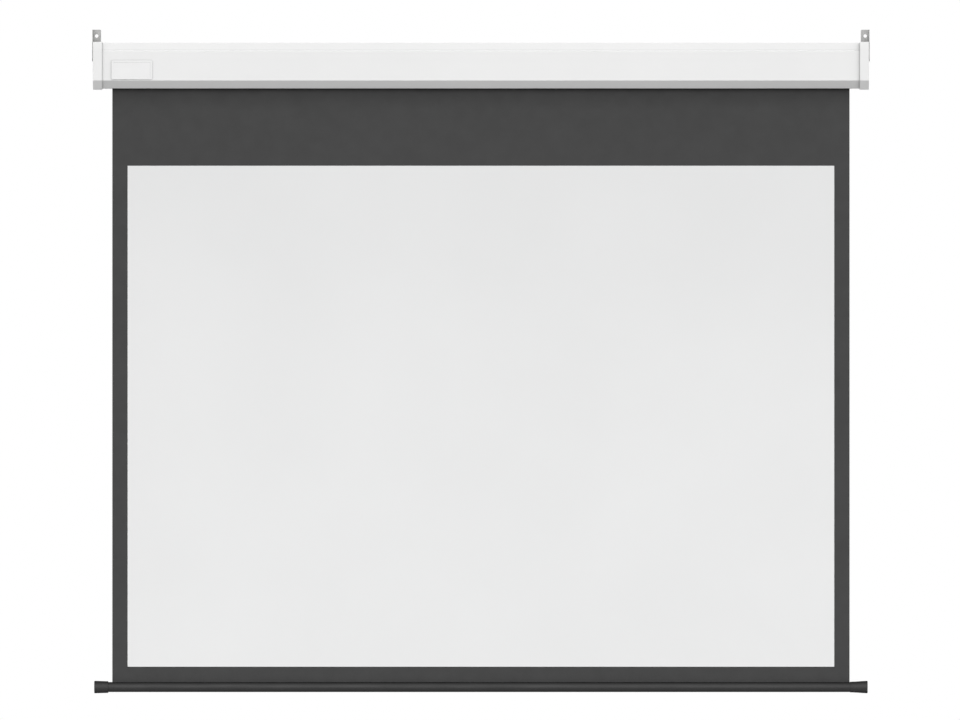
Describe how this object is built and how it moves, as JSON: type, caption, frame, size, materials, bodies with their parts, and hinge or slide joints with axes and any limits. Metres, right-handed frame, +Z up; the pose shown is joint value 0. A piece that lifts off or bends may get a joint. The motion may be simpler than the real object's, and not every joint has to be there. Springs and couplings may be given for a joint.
{
  "type": "motorized projection screen",
  "caption": "Electric roll-down projection screen with a slim white casing, hanging brackets, black-bordered white fabric and a round weight bar.",
  "frame": {"origin": "middle of the casing's rear face, in the wall plane", "axes": "+X to the right along the width, +Y into the wall, +Z up; the picture faces -Y"},
  "size_m": [1.981, 0.111, 1.691],
  "materials": {
    "casing_paint": "satin white powder coat",
    "cap_plastic": "moulded, fine texture",
    "plate_plastic": "smooth matte",
    "bracket_steel": "zinc plated, satin",
    "zinc_steel": "zinc plated",
    "black_cloth": "matte coated weave",
    "white_coat": "matte white projection coat",
    "bar_paint": "semi-gloss black",
    "bar_cap_plastic": "satin black",
    "black_plastic": "moulded",
    "grey_plastic": "moulded",
    "white_plastic": "moulded",
    "copper_iron": "laminated iron with lacquered windings",
    "brass": "machined"
  },
  "bodies": {
    "body": {"casing_front": "casing_paint", "casing_rear": "casing_paint", "nameplate": "plate_plastic", "end_cap_left": "cap_plastic", "end_cap_right": "cap_plastic", "hanging_bracket_left": "bracket_steel", "hanging_bracket_right": "bracket_steel", "bracket_screw_left_upper": "zinc_steel", "bracket_screw_left_lower": "zinc_steel", "bracket_screw_right_upper": "zinc_steel", "bracket_screw_right_lower": "zinc_steel", "cap_screw_left_upper": "zinc_steel", "cap_screw_left_lower": "zinc_steel", "cap_screw_right_upper": "zinc_steel", "cap_screw_right_lower": "zinc_steel", "motor_bracket_plate": "zinc_steel", "idler_bracket_plate": "zinc_steel", "idler_bush": "white_plastic", "motor_head": "black_plastic", "motor_head_screw_rear": "zinc_steel", "motor_head_screw_front": "zinc_steel", "motor_shell": "zinc_steel", "limit_switch_unit": "grey_plastic", "motor_capacitor": "grey_plastic", "motor_brake": "zinc_steel", "rotor_bearing_rear": "zinc_steel", "rotor_bearing_front": "zinc_steel", "motor_stator": "copper_iron", "ring_gear": "grey_plastic", "output_bearing": "zinc_steel", "terminal_box": "grey_plastic", "terminal_box_lid": "grey_plastic", "terminal_block": "white_plastic", "motor_lead": "black_plastic", "cable_gland": "black_plastic", "gland_nut": "black_plastic", "fabric_sheet": "black_cloth", "white_surface": "white_coat"},
    "roller": {"roller_tube": "zinc_steel", "fabric_clamp_strip": "white_plastic", "fabric_roll": "black_cloth", "crown_ring": "black_plastic", "drive_wheel": "black_plastic", "idler_plug": "black_plastic", "idler_pin": "zinc_steel", "output_carrier": "zinc_steel"},
    "rotor": {"motor_rotor": "zinc_steel", "sun_gear": "brass"},
    "planet_1": {"planet_gear_1": "brass"},
    "planet_2": {"planet_gear_2": "brass"},
    "planet_3": {"planet_gear_3": "brass"},
    "weight_bar": {"weight_bar_tube": "bar_paint", "weight_bar_cap_left": "bar_cap_plastic", "weight_bar_cap_right": "bar_cap_plastic", "fabric_hem": "black_cloth", "hem_rod": "white_plastic"},
    "upper_limit_screw": {"limit_screw_up": "brass"},
    "lower_limit_screw": {"limit_screw_down": "brass"}
  },
  "joints": [
    {"name": "roller_spin", "type": "hinge", "parent": "body", "child": "roller", "pos_m": [0, -0.05015, 0.004], "axis": [-1, 0, 0], "range_deg": [0, 3036]},
    {"name": "screen_drop", "type": "slide", "parent": "body", "child": "weight_bar", "axis": [0, 0, 1], "range_m": [0, 1.5], "deforming": ["fabric_sheet", "white_surface"]},
    {"name": "rotor_spin", "type": "hinge", "parent": "body", "child": "rotor", "pos_m": [-0.7, -0.05015, 0.004], "axis": [-1, 0, 0], "range_deg": [0, 12144]},
    {"name": "planet_1_spin", "type": "hinge", "parent": "roller", "child": "planet_1", "pos_m": [-0.66, -0.05015, 0.013], "axis": [-1, 0, 0], "range_deg": [-9108, 0]},
    {"name": "planet_2_spin", "type": "hinge", "parent": "roller", "child": "planet_2", "pos_m": [-0.66, -0.05794, -0.0005], "axis": [-1, 0, 0], "range_deg": [-9108, 0]},
    {"name": "planet_3_spin", "type": "hinge", "parent": "roller", "child": "planet_3", "pos_m": [-0.66, -0.04236, -0.0005], "axis": [-1, 0, 0], "range_deg": [-9108, 0]},
    {"name": "limit_up_turn", "type": "hinge", "parent": "body", "child": "upper_limit_screw", "pos_m": [-0.965, -0.06379, -0.01201], "axis": [0, -0.3813, -0.9244], "continuous": true},
    {"name": "limit_down_turn", "type": "hinge", "parent": "body", "child": "lower_limit_screw", "pos_m": [-0.965, -0.05177, -0.01697], "axis": [0, -0.3813, -0.9244], "continuous": true}
  ],
  "couplings": [
    {"joint": "screen_drop", "follows": "roller_spin", "m_per_rad": 0.0283},
    {"joint": "rotor_spin", "follows": "roller_spin", "ratio": 4},
    {"joint": "planet_1_spin", "follows": "roller_spin", "ratio": -3},
    {"joint": "planet_2_spin", "follows": "roller_spin", "ratio": -3},
    {"joint": "planet_3_spin", "follows": "roller_spin", "ratio": -3}
  ]
}
